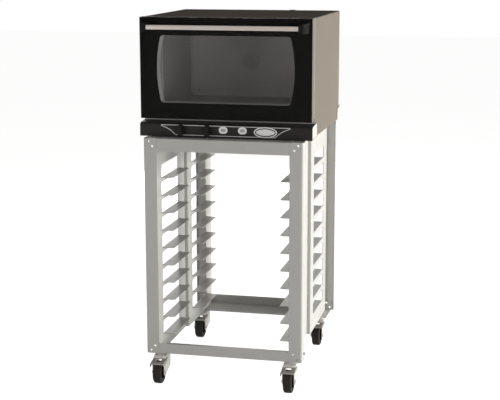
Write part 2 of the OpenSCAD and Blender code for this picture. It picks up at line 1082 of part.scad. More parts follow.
module door_inner_panel() {
    color("gainsboro")
        difference() {
            door_plate(door_t - panel_t, door_t, 0);
            at_door()
                along_y(0, door_t + 1)
                    window_shape(0);
            ear_slots();
            heel_cut();
            for (x = [-1, 1])
                for (z = [-20, -door_h / 2])
                    bar_y(x * (half_o - 14), oven_z1 + z, door_y + 20,
                        door_y + door_t + 1, 2.5);
        }
}

module hinge_pins() {
    color("gray")
        pin_bores(pin_r);
}

module handle_bar() {
    x = handle_w / 2 - bracket_w + bar_in;
    color("silver")
        bar_x(door_y - bar_out, oven_z1 - bar_drop, -x, x, bar_r);
}

// End bracket in plan, from its outer end x = 0 towards the bar
module bracket_plan() {
    y0 = -bar_out - bar_r - 1;
    r = bracket_r;
    polygon([[0, 0], [0, -4], [bracket_in, y0 + r], [bracket_in + r, y0],
        [bracket_w - 4, y0], [bracket_w, y0 + 4], [bracket_w, -10],
        [bracket_w + 4, -4], [bracket_w + 4, 0]]);
    translate([bracket_in + r, y0 + r])
        circle(r);
}

// The same from the front, its corners taken off
module bracket_front() {
    b = bar_r + 3;
    h = bracket_h / 2;
    polygon([[0, -h + 3], [3, -h], [bracket_w - 4, -h], [bracket_w, -b - 2],
        [bracket_w + 4, -b - 2], [bracket_w + 4, b + 2], [bracket_w, b + 2],
        [bracket_w - 4, h], [3, h], [0, h - 3]]);
}

module handle_brackets() {
    z = oven_z1 - bar_drop;
    x1 = handle_w / 2 - bracket_w + bar_in;
    color("black")
        for (s = [-1, 1])
            difference() {
                translate([s * handle_w / 2, door_y, z])
                    mirror([s > 0 ? 1 : 0, 0, 0])
                        intersection() {
                            translate([0, 0, -bracket_h])
                                linear_extrude(2 * bracket_h)
                                    bracket_plan();
                            along_y(-2 * bar_out, 0)
                                bracket_front();
                        }
                bar_x(door_y - bar_out, z, min(0, s * x1), max(0, s * x1),
                    bar_r);
            }
}

// Rounded window over a runner, y along the tray and z up from its fold
module punch(l, h, r) {
    square([l, h - r]);
    translate([r, 0])
        square([l - 2 * r, h]);
    for (y = [r, l - r])
        translate([y, h - r])
            circle(r);
}

// The runners of one half, folded in from the web at x, towards side u
module runners(x, u, y) {
    for (k = [0:runner_n - 1])
        translate([0, y, leg_z0 + runner_low + k * runner_pitch])
            intersection() {
                translate([0, runner_l, 0])
                    rotate([90, 0, 0])
                        linear_extrude(runner_l)
                            sheet_path([[x, -bend - 4], [x, -sheet_t / 2],
                                [x + u * (runner_reach + sheet_t / 2),
                                -sheet_t / 2]], [0, bend, 0], sheet_t);
                union() {
                    translate([x - u * 3, 0, -20])
                        mirror([u > 0 ? 0 : 1, 0, 0])
                            linear_extrude(40)
                                rotate(-90)
                                    mirror([1, 0])
                                        punch(runner_l, runner_reach + 3
                                            + sheet_t / 2, punch_r);
                }
            }
}

module punch_cuts(x, y) {
    for (k = [0:runner_n - 1])
        translate([0, y, leg_z0 + runner_low + k * runner_pitch
            - bend - sheet_t / 2])
            along_x(x - 2 * sheet_t, x + 2 * sheet_t)
                punch(runner_l, punch_h + bend + sheet_t / 2, punch_r);
}

// One sheet: front flange and lip, stepped web, rear flange and lip
module side_frame(s) {
    o = s * (half_w - sheet_t / 2);
    xf = s * (bay_w / 2 + sheet_t / 2);
    xr = xf + joggle;
    ya = leg_y0 + sheet_t / 2;
    yb = leg_y1 - sheet_t / 2;
    yf = leg_y0 + runner_in;
    yr = leg_ym + runner_in;
    color("silver")
        difference() {
            union() {
                difference() {
                    translate([0, 0, leg_z0])
                        linear_extrude(stand_h)
                            sheet_path([[o, leg_y0 + lip_front], [o, ya],
                                [xf, ya], [xf, leg_ym], [xr, leg_ym],
                                [xr, yb], [o, yb], [o, leg_y1 - lip_rear]],
                                [0, lip_r, bend, bend, bend, bend, lip_r, 0],
                                sheet_t);
                    punch_cuts(xf, yf);
                    punch_cuts(xr, yr);
                    web_top_cut(xf, leg_y0 + top_in, leg_ym - 8);
                    web_top_cut(xr, leg_ym + 8, leg_y1 - top_in);
                }
                runners(xf, -s, yf);
                runners(xr, -s, yr);
                web_top(xf, s, leg_y0 + top_in, leg_ym - 8);
                web_top(xr, s, leg_ym + 8, leg_y1 - top_in);
            }
            rail_room(s);
            fix_holes(s);
        }
}

module web_top_cut(x, y0, y1) {
    block(x - 2 * sheet_t, x + 2 * sheet_t, y0, y1, leg_z1 - bend
        - sheet_t / 2, leg_z1 + 1);
}

// Flange bent outwards at the top of the web, which carries the oven
module web_top(x, s, y0, y1) {
    zt = leg_z1 - sheet_t / 2;
    along_y(y0, y1)
        sheet_path([[x, zt - bend - 2], [x, zt], [s * seat_x, zt]],
            [0, bend, 0], sheet_t);
}

// Room for the four rails behind the flanges and under the web
module rail_room(s) {
    xa = s > 0 ? bay_w / 2 - 1 : -half_w + sheet_t + 0.1;
    xb = s > 0 ? half_w - sheet_t - 0.1 : -bay_w / 2 + joggle + 1 + sheet_t;
    xc = s > 0 ? bay_w / 2 + joggle + 2 * bend + 2 : -bay_w / 2 + joggle + 1
        + sheet_t;
    xd = s > 0 ? bay_w / 2 - 1 : -bay_w / 2 - 2 * bend - 2;
    t = sheet_t;
    block(xd, xc, leg_y0 + t, leg_y0 + 2 * t, leg_z1 - rail_top_h,
        leg_z1 + 1);
    block(xd, xc, leg_y1 - 2 * t, leg_y1 - t, leg_z1 - rail_top_h,
        leg_z1 + 1);
    block(xd, xc, leg_y0 + t, leg_y0 + 2 * t, leg_z0 - 1,
        leg_z0 + rail_low_h);
    block(xd, xc, leg_y1 - 2 * t, leg_y1 - t, leg_z0 - 1,
        leg_z0 + rail_low_h);
    block(xd, xc, leg_y0 + t, leg_y0 + rail_d, leg_z0 - 1, leg_z0 + t);
    block(xd, xc, leg_y1 - rail_d, leg_y1 - t, leg_z0 - 1, leg_z0 + t);
}

// The open holes at the corners of the flanges, through flange and rail
module fix_holes(s) {
    for (y = [leg_y0, leg_y1])
        for (i = [0, 1])
            for (z = [leg_z0 + fix_z + i * fix_dz,
                leg_z1 - fix_z - i * fix_dz])
                bar_y(s * (half_w - fix_x - i * fix_dx), z, y - 3 * sheet_t,
                    y + 3 * sheet_t, fix_d / 2);
}

module side_frame_left() {
    side_frame(-1);
}

module side_frame_right() {
    side_frame(1);
}

// Rail with its web upright at the face y and its flange towards u, at
// z0 for v = 1 or at the top for v = -1
module rail(y, u, v, z0, h, d, x0, x1) {
    xe = half_w - rail_end;
    zf = (v > 0 ? z0 : z0 + h) + v * sheet_t / 2;
    zw = v > 0 ? z0 + h : z0;
    ye = y + u * (sheet_t + sheet_t / 2);
    color("silver")
        difference() {
            union() {
                translate([x0, 0, 0])
                    rotate([90, 0, 90])
                        linear_extrude(x1 - x0)
                            sheet_path([[ye, zw], [ye, zf], [y + u * d, zf]],
                                [0, bend, 0], sheet_t);
                block(-xe, xe, ye - sheet_t / 2, ye + sheet_t / 2,
                    v > 0 ? z0 + bend + sheet_t : z0,
                    v > 0 ? z0 + h : z0 + h - bend - sheet_t);
            }
            for (s = [-1, 1])
                fix_holes(s);
        }
}

module rail_top_front() {
    rail(leg_y0, 1, -1, leg_z1 - rail_top_h, rail_top_h, rail_d,
        1 - bay_w / 2, bay_w / 2 - 1);
}

module rail_top_rear() {
    rail(leg_y1, -1, -1, leg_z1 - rail_top_h, rail_top_h, rail_d,
        joggle + 1 - bay_w / 2, joggle - 1 + bay_w / 2);
}

module rail_low_front() {
    rail(leg_y0, 1, 1, leg_z0, rail_low_h, rail_d, rail_end - half_w,
        half_w - rail_end);
}

module rail_low_rear() {
    rail(leg_y1, -1, 1, leg_z0, rail_low_h, rail_d, rail_end - half_w,
        half_w - rail_end);
}

// Places of the four casters, front left, front right, rear left, rear right
function caster_at(i) = [(i % 2 == 0 ? -1 : 1) * caster_x,
    i < 2 ? leg_y0 + caster_in : leg_y1 - caster_back];

module at_caster(i) {
    translate([caster_at(i)[0], caster_at(i)[1], 0])
        children();
}

// Swivel cup under the rail with its kingpin and the riveted head
module caster_mounts() {
    color("silver")
        for (i = [0:3])
            at_caster(i) {
                translate([0, 0, crown_z1 + air])
                    cylinder(h = leg_z0 - crown_z1 - air, r = cup_r);
                translate([0, 0, crown_z0 - 4])
                    cylinder(h = leg_z0 - crown_z0, r = stem_r);
                translate([0, 0, crown_z0 - 4])
                    cylinder(h = 4 - air, r = stem_r + 4);
            }
}

// Outline of a fork leg, y from the swivel axis and z from the floor
module leg_outline() {
    r = leg_nose;
    difference() {
        union() {
            polygon([[-trail - r, wheel_r], [-trail - r, leg_step],
                [-cup_r + 2, leg_step], [-cup_r + 2, crown_z1],
                [cup_r + 2, crown_z1], [leg_back, crown_z1 - 16],
                [leg_back, wheel_r + 8], [-trail + r * 0.5,
                wheel_r - r * 0.86]]);
            translate([-trail, wheel_r])
                circle(r);
        }
    }
}

module fork(i) {
    h = fork_in / 2;
    color("dimgray")
        at_caster(i)
            difference() {
                union() {
                    for (s = [-1, 1])
                        along_x(s > 0 ? h : -h - fork_t,
                            s > 0 ? h + fork_t : -h)
                            leg_outline();
                    translate([0, 0, crown_z0])
                        intersection() {
                            block(-h - fork_t, h + fork_t, -cup_r, leg_back,
                                0, crown_z1 - crown_z0);
                            union() {
                                cylinder(h = 20, r = cup_r + 2);
                                block(-h - fork_t, h + fork_t, -cup_r + 2,
                                    cup_r + 2, 0, 20);
                            }
                        }
                    bar_x(-trail, wheel_r, -h - fork_t - 3, h + fork_t + 3,
                        axle_r);
                    for (s = [-1, 1])
                        bar_x(-trail, wheel_r, s > 0 ? h + fork_t - e
                            : -h - fork_t - 3, s > 0 ? h + fork_t + 3
                            : -h - fork_t + e, axle_r + 3);
                    pedal_rivets();
                }
                translate([0, 0, crown_z0 - 1])
                    cylinder(h = 30, r = stem_r + fit);
            }
}

module pedal_rivets() {
    x0 = fork_in / 2 + fork_t - e;
    for (s = [-1, 1]) {
        bar_x(rivet_y, rivet_z, s > 0 ? x0 : -x0 - 2 * air - pedal_t - 1.5,
            s > 0 ? x0 + 2 * air + pedal_t + 1.5 : -x0, rivet_r);
        bar_x(rivet_y, rivet_z, s > 0 ? x0 + 2 * air + pedal_t
            : -x0 - 2 * air - pedal_t - 1.5, s > 0 ? x0 + 2 * air + pedal_t
            + 1.5 : -x0 - 2 * air - pedal_t, rivet_r + 3);
    }
}

module tyre(i) {
    r = tyre_w / 2;
    color("black")
        at_caster(i)
            translate([0, -trail, wheel_r])
                rotate([0, 90, 0])
                    rotate_extrude()
                        difference() {
                            translate([wheel_r - 20, -r])
                                union() {
                                    square([20 - shoulder, tyre_w]);
                                    translate([0, shoulder])
                                        square([20, tyre_w - 2 * shoulder]);
                                    for (y = [shoulder, tyre_w - shoulder])
                                        translate([20 - shoulder, y])
                                            circle(shoulder);
                                }
                            translate([0, -r - 1])
                                square([rim_r, tyre_w + 2]);
                        }
}

module hub(i) {
    r = tyre_w / 2;
    color("gray")
        at_caster(i)
            translate([0, -trail, wheel_r])
                rotate([0, 90, 0])
                    rotate_extrude()
                        union() {
                            translate([axle_r + fit, -fork_in / 2 + air])
                                square([6, fork_in - 2 * air]);
                            translate([axle_r + fit, -4])
                                square([rim_r - axle_r - fit, 8]);
                            translate([rim_r - 4, -r + 1])
                                square([4, tyre_w - 2]);
                        }
}

// Stamped pedal over the wheel, hinged on the rivets of the fork
module pedal(i) {
    x1 = fork_in / 2 + fork_t + air;
    a = pedal_a;
    color("dimgray")
        at_caster(i)
            difference() {
                union() {
                    for (s = [-1, 1])
                        along_x(s > 0 ? x1 : -x1 - pedal_t,
                            s > 0 ? x1 + pedal_t : -x1)
                            union() {
                                translate([rivet_y, rivet_z])
                                    circle(pedal_ear);
                                polygon([[rivet_y, rivet_z + pedal_ear],
                                    [-cup_r - 1, pedal_z(-cup_r - 1)],
                                    [-pedal_reach, pedal_z(-pedal_reach)],
                                    [-pedal_reach, pedal_z(-pedal_reach)
                                    - 10], [rivet_y, rivet_z - pedal_ear]]);
                            }
                    along_x(-x1 - pedal_t, x1 + pedal_t)
                        polygon([[-cup_r - 1, pedal_z(-cup_r - 1)],
                            [-cup_r - 1, pedal_z(-cup_r - 1) - pedal_t],
                            [-pedal_reach, pedal_z(-pedal_reach) - pedal_t],
                            [-pedal_reach, pedal_z(-pedal_reach)]]);
                    block(-x1 - pedal_t, x1 + pedal_t, -pedal_reach,
                        -pedal_reach + pedal_t, pedal_z(-pedal_reach)
                        - pedal_lip,
                        pedal_z(-pedal_reach));
                    translate([-x1 - pedal_t, -pedal_reach - 8,
                        pedal_z(-pedal_reach) - 12])
                        cube([pedal_t, 12, 12]);
                }
                bar_x(rivet_y, rivet_z, -x1 - 5, x1 + 5, rivet_r + fit);
                translate([slot_x, -trail - 4, 0])
                    linear_extrude(200)
                        round_rect(slot_w, slot_l, 2);
            }
}

function pedal_z(y) = pedal_z0 + (y + cup_r + 1) * tan(pedal_a);

module fork_front_left() {
    fork(0);
}

module fork_front_right() {
    fork(1);
}

module fork_rear_left() {
    fork(2);
}

module fork_rear_right() {
    fork(3);
}

module tyre_front_left() {
    tyre(0);
}

module tyre_front_right() {
    tyre(1);
}

module tyre_rear_left() {
    tyre(2);
}

module tyre_rear_right() {
    tyre(3);
}

module hub_front_left() {
    hub(0);
}

module hub_front_right() {
    hub(1);
}

module hub_rear_left() {
    hub(2);
}

module hub_rear_right() {
    hub(3);
}

module pedal_front_left() {
    pedal(0);
}

module pedal_front_right() {
    pedal(1);
}

module pedal_rear_left() {
    pedal(2);
}

module pedal_rear_right() {
    pedal(3);
}

cabinet_shell();
cabinet_back();
cabinet_base();
front_frame();
cavity_liner();
insulation();
air_baffle();
fan_wheel();
fan_motor();
heating_element();
door_gasket();
steam_vent();
oven_feet();
control_fascia();
housing_cheeks();
panel_trim();
oval_plate();
control_units();
knob_timer();
knob_temperature();
button_bezels();
button_left();
button_right();
service_box();
inlet_bush();
hinge_ears();
door_frame();
door_glass_outer();
door_border();
door_glass_inner();
door_inner_panel();
hinge_pins();
handle_bar();
handle_brackets();
side_frame_left();
side_frame_right();
rail_top_front();
rail_top_rear();
rail_low_front();
rail_low_rear();
caster_mounts();
fork_front_left();
fork_front_right();
fork_rear_left();
fork_rear_right();
tyre_front_left();
tyre_front_right();
tyre_rear_left();
tyre_rear_right();
hub_front_left();
hub_front_right();
hub_rear_left();
hub_rear_right();
pedal_front_left();
pedal_front_right();
pedal_rear_left();
pedal_rear_right();
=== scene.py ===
import bpy
import bmesh
import math
from mathutils import Vector, Matrix


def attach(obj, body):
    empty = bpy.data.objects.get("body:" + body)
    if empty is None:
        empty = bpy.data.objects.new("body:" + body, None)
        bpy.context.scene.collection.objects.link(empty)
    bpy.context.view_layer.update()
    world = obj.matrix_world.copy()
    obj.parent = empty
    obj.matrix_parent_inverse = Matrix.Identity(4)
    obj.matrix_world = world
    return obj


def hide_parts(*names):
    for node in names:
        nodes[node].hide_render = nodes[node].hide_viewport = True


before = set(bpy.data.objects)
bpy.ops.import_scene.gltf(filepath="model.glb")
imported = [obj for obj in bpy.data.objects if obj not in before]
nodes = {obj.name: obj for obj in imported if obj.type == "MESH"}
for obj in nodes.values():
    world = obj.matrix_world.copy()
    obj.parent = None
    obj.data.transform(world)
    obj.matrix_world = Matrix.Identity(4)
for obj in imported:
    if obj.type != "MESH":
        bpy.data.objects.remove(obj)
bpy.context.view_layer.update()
bpy.ops.object.select_all(action="DESELECT")
scene = bpy.context.scene
print("frame loaded:", len(nodes), "nodes")


# Shader maths: a socket with operators
class Wire:
    def __init__(self, net, socket):
        self.net = net
        self.socket = socket

    def maths(self, operation, a, b=None, clamp=False):
        inputs = {0: a} if b is None else {0: a, 1: b}
        return self.net.node("ShaderNodeMath", {"operation": operation, "use_clamp": clamp}, inputs)

    def __add__(self, other):
        return self.maths("ADD", self, other)

    def __radd__(self, other):
        return self.maths("ADD", other, self)

    def __sub__(self, other):
        return self.maths("SUBTRACT", self, other)

    def __rsub__(self, other):
        return self.maths("SUBTRACT", other, self)

    def __mul__(self, other):
        return self.maths("MULTIPLY", self, other)

    def __rmul__(self, other):
        return self.maths("MULTIPLY", other, self)

    def __gt__(self, other):
        return self.maths("GREATER_THAN", self, other)

    def __lt__(self, other):
        return self.maths("LESS_THAN", self, other)

    def clamped(self):
        return self.maths("ADD", self, 0.0, clamp=True)

    def absolute(self):
        return self.maths("ABSOLUTE", self)

    def largest(self, other):
        return self.maths("MAXIMUM", self, other)


# A node tree, and the one method that makes its nodes
class Net:
    def __init__(self, tree):
        self.tree = tree

    def node(self, kind, settings=None, inputs=None, out=0):
        made = self.tree.nodes.new(kind)
        for key, value in (settings or {}).items():
            setattr(made, key, value)
        for key, value in (inputs or {}).items():
            self.feed(made.inputs[key], value)
        return Wire(self, made.outputs[out])

    def feed(self, socket, value):
        if isinstance(value, Wire):
            self.tree.links.new(value.socket, socket)
        elif isinstance(value, tuple) and len(value) == 3 and len(socket.default_value) == 4:
            socket.default_value = (*value, 1)
        else:
            socket.default_value = value

    def mix(self, factor, first, second):
        return self.node("ShaderNodeMix", {"data_type": "RGBA"}, {0: factor, 6: first, 7: second}, out=2)

    # 1 where a surface is looked at, straight, through a pane or in a gloss, and 0 where it gives light
    def looked(self):
        rays = self.node("ShaderNodeLightPath").socket.node.outputs
        kinds = ("Is Camera Ray", "Is Transmission Ray", "Is Glossy Ray")
        straight, through, gloss = (Wire(self, rays[kind]) for kind in kinds)
        return straight.largest(through).largest(gloss)


class Finish(Net):
    def __init__(self, name, **sockets):
        self.material = bpy.data.materials.new(name)
        self.material.use_nodes = True
        super().__init__(self.material.node_tree)
        self.shader = self.tree.nodes["Principled BSDF"]
        self.set(**sockets)

    def set(self, **sockets):
        names = {"colour": "Base Color", "rough": "Roughness", "metal": "Metallic", "alpha": "Alpha",
                 "specular": "Specular IOR Level", "normal": "Normal"}
        for key, value in sockets.items():
            self.feed(self.shader.inputs[names[key]], value)
        return self

    def colourNow(self):
        return Wire(self, self.shader.inputs["Base Color"].links[0].from_socket)

    def place(self):
        return self.node("ShaderNodeTexCoord", out=3)  # Object coordinates

    def axes(self):
        split = self.node("ShaderNodeSeparateXYZ", {}, {0: self.place()}).socket.node
        return [Wire(self, socket) for socket in split.outputs]

    def noise(self, scale, detail=3, stretch=(1, 1, 1)):
        stretched = self.node("ShaderNodeMapping", {}, {"Vector": self.place(), "Scale": stretch})
        return self.node("ShaderNodeTexNoise", {}, {"Vector": stretched, "Scale": scale, "Detail": detail})

    def shades(self, tone, colour, spread):
        darker = tuple(c * (1 - spread) for c in colour)
        lighter = tuple(min(1, c * (1 + spread)) for c in colour)
        return self.mix(tone.clamped(), darker, lighter)

    def bump(self, height, distance):
        return self.node("ShaderNodeBump", {}, {"Height": height, "Distance": distance})


# Sheet metal: fine lines the way it was rolled, under a faint cloud
upright, across, along = (1, 1, 0.03), (0.03, 1, 1), (1, 0.03, 1)  # the way the lines run
sheetLook = {"grain": 240, "fine": 840, "cloud": 3.1, "spread": 0.035,
             "grainTone": 0.8, "fineTone": 0.5, "cloudTone": 1.2,
             "grainRough": 0.12, "cloudRough": 0.1, "fineHeight": 0.4}


def rolledSheet(name, colour, rough=0.45, metal=0.0, specular=0.1, lines=upright, depth=0.00004):
    look = sheetLook
    made = Finish(name)
    grain = made.noise(look["grain"], 4, lines)
    fine = made.noise(look["fine"], 2, lines)
    cloud = made.noise(look["cloud"], 3)
    tone = ((grain - 0.5) * look["grainTone"] + (fine - 0.5) * look["fineTone"]
            + (cloud - 0.5) * look["cloudTone"] + 0.5)
    made.set(colour=made.shades(tone, colour, look["spread"]), metal=metal, specular=specular,
             rough=(grain - 0.5) * look["grainRough"] + (cloud - 0.5) * look["cloudRough"] + rough,
             normal=made.bump(grain + fine * look["fineHeight"], depth))
    return made


sheets = {
    "standSheet": {"colour": (0.555, 0.547, 0.525)},
    "railSheet": {"colour": (0.555, 0.547, 0.525), "lines": across},
    "cabinetSheet": {"colour": (0.222, 0.198, 0.17), "rough": 0.5, "specular": 0.0, "lines": along},
    "faceSheet": {"colour": (0.66, 0.65, 0.635), "rough": 0.42, "lines": across},
    "zincSheet": {"colour": (0.46, 0.46, 0.45), "rough": 0.48},
    # The cavity's one steel in two tones: the liner painted darker as painted shade on the side walls, the
    # baffle painted paler as painted light on the back wall
    "cavityShadedSteel": {"colour": (0.52, 0.513, 0.504), "rough": 0.4, "specular": 0.15, "lines": across},
    "cavityLitSteel": {"colour": (0.84, 0.83, 0.815), "rough": 0.4, "specular": 0.15, "lines": across},
    "barSheet": {"colour": (0.74, 0.66, 0.595), "rough": 0.36, "metal": 0.1, "specular": 0.2,
                 "lines": across, "depth": 0.00002},
    "trimSilver": {"colour": (0.62, 0.62, 0.6), "rough": 0.3, "metal": 0.2, "specular": 0.4,
                   "lines": across, "depth": 0.00001},
    "forkZinc": {"colour": (0.62, 0.6, 0.55), "rough": 0.36, "metal": 0.1, "specular": 0.2},
    # the pedal's own steel painted paler on its turned-up edge: a painted highlight
    "curlHighlightZinc": {"colour": (0.72, 0.7, 0.66), "rough": 0.36, "metal": 0.1, "specular": 0.2},
    "pedalZinc": {"colour": (0.36, 0.33, 0.3), "rough": 0.36, "metal": 0.1, "specular": 0.2},
    "cheekPaint": {"colour": (0.6, 0.585, 0.54), "rough": 0.42, "specular": 0.15},
    # doorFold's pale colour is painted light: the lit tone of the reveal round the window, masked off outside
    "doorFold": {"colour": (0.8, 0.79, 0.77), "rough": 0.42, "specular": 0.0, "lines": across},
}
finishes = {name: rolledSheet(name, **look) for name, look in sheets.items()}

# The door's folded frame is brown-grey outside, and painted pale where it turns in round the window: the same
# sheet given a lit tone there, painted light on the reveal
frameLook = {"outside": (0.226, 0.203, 0.178), "halfWidth": 0.2585, "low": 0.981, "high": 1.239}
doorFold = finishes["doorFold"]
sideways, _, upwards = doorFold.axes()
outside = ((sideways.absolute() > frameLook["halfWidth"])
           + (upwards < frameLook["low"]) + (upwards > frameLook["high"]))
doorFold.set(colour=doorFold.mix(outside.clamped(), doorFold.colourNow(), frameLook["outside"]))


# Plastics, rubbers, enamels, printed glass and felt: a fine grain under slow changes of tone
mouldLook = {"soft": 9, "softTone": 1.4, "grainTone": 0.5, "grainRough": 0.14, "softRough": 0.08}


def moulded(name, colour, rough, grain=900, depth=0.00004, specular=0.3, spread=0.12):
    look = mouldLook
    made = Finish(name)
    pores = made.noise(grain, 3)
    soft = made.noise(look["soft"], 3)
    tone = (soft - 0.5) * look["softTone"] + (pores - 0.5) * look["grainTone"] + 0.5
    made.set(colour=made.shades(tone, colour, spread), specular=specular,
             rough=(pores - 0.5) * look["grainRough"] + (soft - 0.5) * look["softRough"] + rough,
             normal=made.bump(pores, depth))
    return made


moulds = {
    "blackPlastic": {"colour": (0.017, 0.0168, 0.0165), "rough": 0.5, "specular": 0.06},
    "bracketPlastic": {"colour": (0.026, 0.0256, 0.0248), "rough": 0.6, "specular": 0.0},
    "blackEnamel": {"colour": (0.031, 0.0298, 0.028), "rough": 0.38, "grain": 300, "depth": 0.00001,
                    "specular": 0.08},
    "blackGlass": {"colour": (0.0112, 0.011, 0.0104), "rough": 0.12, "grain": 200, "depth": 0.000002,
                   "specular": 0.04, "spread": 0.1},
    "blackRubber": {"colour": (0.02, 0.02, 0.02), "rough": 0.7, "grain": 600, "specular": 0.08},
    "greySilicone": {"colour": (0.62, 0.615, 0.6), "rough": 0.6, "grain": 500, "specular": 0.15},
    "tyreRubber": {"colour": (0.034, 0.032, 0.03), "rough": 0.7, "grain": 700, "depth": 0.00008,
                   "specular": 0.08},
    "whitePlastic": {"colour": (0.95, 0.95, 0.93), "rough": 0.34, "grain": 700, "depth": 0.00001,
                     "spread": 0.02},
    "greyPlastic": {"colour": (0.5, 0.5, 0.49), "rough": 0.38, "grain": 700, "depth": 0.00001,
                    "specular": 0.2, "spread": 0.04},
    "plateEnamel": {"colour": (0.95, 0.945, 0.93), "rough": 0.35, "grain": 500, "depth": 0.00001,
                    "specular": 0.15, "spread": 0.03},
    "unitPlastic": {"colour": (0.05, 0.05, 0.05), "rough": 0.5},
    "hubPlastic": {"colour": (0.02, 0.02, 0.019), "rough": 0.5, "specular": 0.1},
    "woolFelt": {"colour": (0.55, 0.5, 0.34), "rough": 0.9, "grain": 140, "depth": 0.002, "specular": 0.1},
}
for name, look in moulds.items():
    finishes[name] = moulded(name, **look)

# Both panes let the light through by their alpha, so the cavity behind them is lit
paneLook = {"rough": 0.08, "smear": 14, "smearRough": 0.1, "smearCover": 0.03,
            "speck": 160, "speckCover": 0.02, "depth": 0.00001, "specular": 0.06}


def pane(name, colour, cover):
    look = paneLook
    made = Finish(name, colour=colour, specular=look["specular"])
    smear = made.noise(look["smear"], 4)
    speck = made.noise(look["speck"], 2)
    covering = (smear - 0.5) * look["smearCover"] + (speck - 0.5) * look["speckCover"] + cover
    made.set(rough=(smear - 0.5) * look["smearRough"] + look["rough"], alpha=covering.clamped(),
             normal=made.bump(smear, look["depth"]))
    return made


panes = {
    "tintedGlass": {"colour": (0.02, 0.02, 0.019), "cover": 0.09},
    "clearGlass": {"colour": (0.04, 0.042, 0.04), "cover": 0.04},
}
for name, look in panes.items():
    finishes[name] = pane(name, **look)

# What each node is finished in
corners = ("front_left", "front_right", "rear_left", "rear_right")
worn = {
    "standSheet": ("side_frame_left", "side_frame_right", "caster_mounts"),
    "railSheet": ("rail_top_front", "rail_top_rear", "rail_low_front", "rail_low_rear"),
    "cabinetSheet": ("cabinet_shell",),
    "faceSheet": ("front_frame",),
    "zincSheet": ("cabinet_back", "cabinet_base", "service_box"),
    "cavityShadedSteel": ("cavity_liner", "steam_vent", "fan_wheel", "heating_element"),
    "cavityLitSteel": ("air_baffle", "door_inner_panel"),
    "doorFold": ("door_frame",),
    "barSheet": ("handle_bar",),
    "trimSilver": ("panel_trim", "oval_plate"),
    "forkZinc": ("hinge_ears", "hinge_pins", *("fork_" + c for c in corners)),
    "pedalZinc": tuple("pedal_" + c for c in corners),
    "tyreRubber": tuple("tyre_" + c for c in corners),
    "hubPlastic": tuple("hub_" + c for c in corners),
    "blackEnamel": ("control_fascia",),
    "blackGlass": ("door_border",),
    "blackPlastic": ("knob_timer", "knob_temperature"),
    "bracketPlastic": ("handle_brackets",),
    "blackRubber": ("oven_feet", "inlet_bush"),
    "greySilicone": ("door_gasket",),
    "whitePlastic": ("button_bezels",),
    "greyPlastic": ("button_left", "button_right"),
    "unitPlastic": ("control_units", "fan_motor"),
    "cheekPaint": ("housing_cheeks",),
    "woolFelt": ("insulation",),
    "tintedGlass": ("door_glass_outer",),
    "clearGlass": ("door_glass_inner",),
}
for name, covered in worn.items():
    for nodeName in covered:
        mesh = nodes[nodeName].data
        mesh.materials.clear()
        mesh.materials.append(finishes[name].material)
print("finishes made")


# Hand tools: small steps that every piece shares
near, nearer = 0.001, 0.0001  # how close to a plane a picked point lies
past = 0.001  # how far a cutting tool reaches past the piece


def only(obj):
    bpy.ops.object.select_all(action="DESELECT")
    obj.select_set(True)
    bpy.context.view_layer.objects.active = obj


def settle(obj):
    only(obj)
    bpy.ops.object.transform_apply(location=True, rotation=True, scale=True)
    return obj


def applied(obj, kind, **settings):
    only(obj)
    modifier = obj.modifiers.new(kind.lower(), kind)
    for key, value in settings.items():
        setattr(modifier, key, value)
    bpy.ops.object.modifier_apply(modifier=modifier.name)
    return obj


def rounded(obj, width, segments=3, angle=50):
    return applied(obj, "BEVEL", width=width, segments=segments, limit_method="ANGLE",
                   angle_limit=math.radians(angle))


def block(low, high, name="block"):
    low, high = Vector(low), Vector(high)
    bpy.ops.mesh.primitive_cube_add(size=1, location=(low + high) / 2, scale=high - low)
    made = bpy.context.object
    made.name = name
    return settle(made)


def drum(start, end, radius, sides=48, name="drum"):
    start, end = Vector(start), Vector(end)
    bpy.ops.mesh.primitive_cylinder_add(vertices=sides, radius=radius, depth=(end - start).length,
                                        location=(start + end) / 2)
    made = bpy.context.object
    made.rotation_euler = (end - start).to_track_quat("Z", "Y").to_euler()
    made.name = name
    return settle(made)


def middleOf(part):
    if isinstance(part, bmesh.types.BMVert):
        return part.co
    if isinstance(part, bmesh.types.BMEdge):
        return (part.verts[0].co + part.verts[1].co) / 2
    return part.calc_center_median()


def picked(obj, test, mode="VERT"):
    only(obj)
    bpy.ops.object.mode_set(mode="EDIT")
    mesh = bmesh.from_edit_mesh(obj.data)
    bpy.ops.mesh.select_mode(type=mode)
    bpy.ops.mesh.select_all(action="DESELECT")
    for part in {"VERT": mesh.verts, "EDGE": mesh.edges, "FACE": mesh.faces}[mode]:
        part.select = test(part, middleOf(part))
    mesh.select_flush_mode()
    bmesh.update_edit_mesh(obj.data)


def leave():
    bpy.ops.object.mode_set(mode="OBJECT")


def facingFront(face):
    return face.normal.y < -0.98


def extended(obj, test, shift):
    picked(obj, test)
    bpy.ops.transform.translate(value=shift)
    leave()
    return obj


def twin(obj, name):
    made = obj.copy()
    made.data = obj.data.copy()
    made.name = name
    made.data.name = name
    scene.collection.objects.link(made)
    return made


def mirrored(obj, name):
    made = twin(obj, name)
    made.scale.x = -1
    settle(made)
    picked(made, lambda v, at: True)
    bpy.ops.mesh.normals_make_consistent(inside=False)
    leave()
    return made


def joined(name, *objs):
    bpy.ops.object.select_all(action="DESELECT")
    for obj in objs:
        obj.select_set(True)
    bpy.context.view_layer.objects.active = objs[0]
    bpy.ops.object.join()
    objs[0].name = name
    objs[0].data.name = name
    return objs[0]


def cut(obj, tool):
    applied(obj, "BOOLEAN", operation="DIFFERENCE", object=tool, solver="EXACT")
    bpy.data.objects.remove(tool)
    return obj


